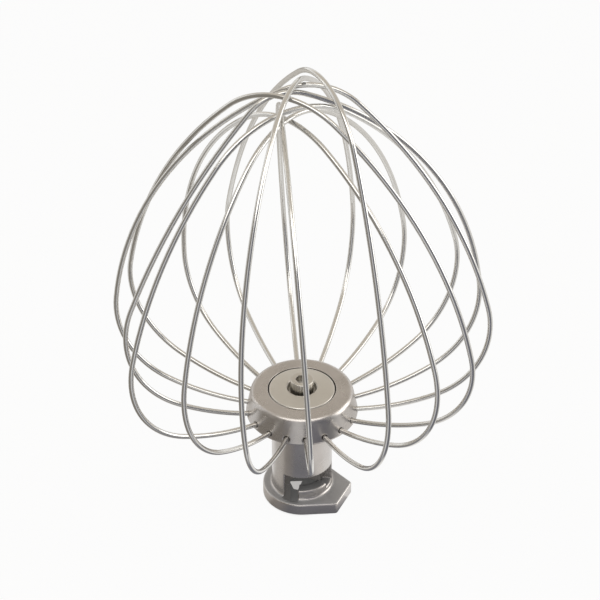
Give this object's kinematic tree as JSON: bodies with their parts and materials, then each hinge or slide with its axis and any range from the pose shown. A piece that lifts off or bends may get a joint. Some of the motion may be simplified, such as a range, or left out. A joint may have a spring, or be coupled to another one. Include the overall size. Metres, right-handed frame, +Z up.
{
  "type": "stand mixer wire whisk",
  "caption": "Balloon wire whisk for a stand mixer: cast hub with a bayonet neck and a foot flange, a cage of bent wire loops, and a screwed clamp disc that holds their hooked ends.",
  "frame": {"origin": "centre of the spindle bore at the underside of the flange", "axes": "+Z up along the bore axis towards the crown of the cage, -Y towards the bayonet slot"},
  "size_m": [0.1183, 0.122, 0.1571],
  "materials": {
    "cast_metal": "tumbled",
    "disc_metal": "satin",
    "screw_steel": "satin",
    "wire_steel": "bright drawn"
  },
  "bodies": {
    "root": {"hub": "cast_metal", "clamp_disc": "disc_metal", "clamp_screw": "screw_steel", "wire_loop_1": "wire_steel", "wire_loop_2": "wire_steel", "wire_loop_3": "wire_steel", "wire_loop_4": "wire_steel", "wire_loop_5": "wire_steel", "wire_loop_6": "wire_steel", "wire_loop_7": "wire_steel", "wire_loop_8": "wire_steel", "wire_loop_9": "wire_steel"}
  },
  "joints": []
}
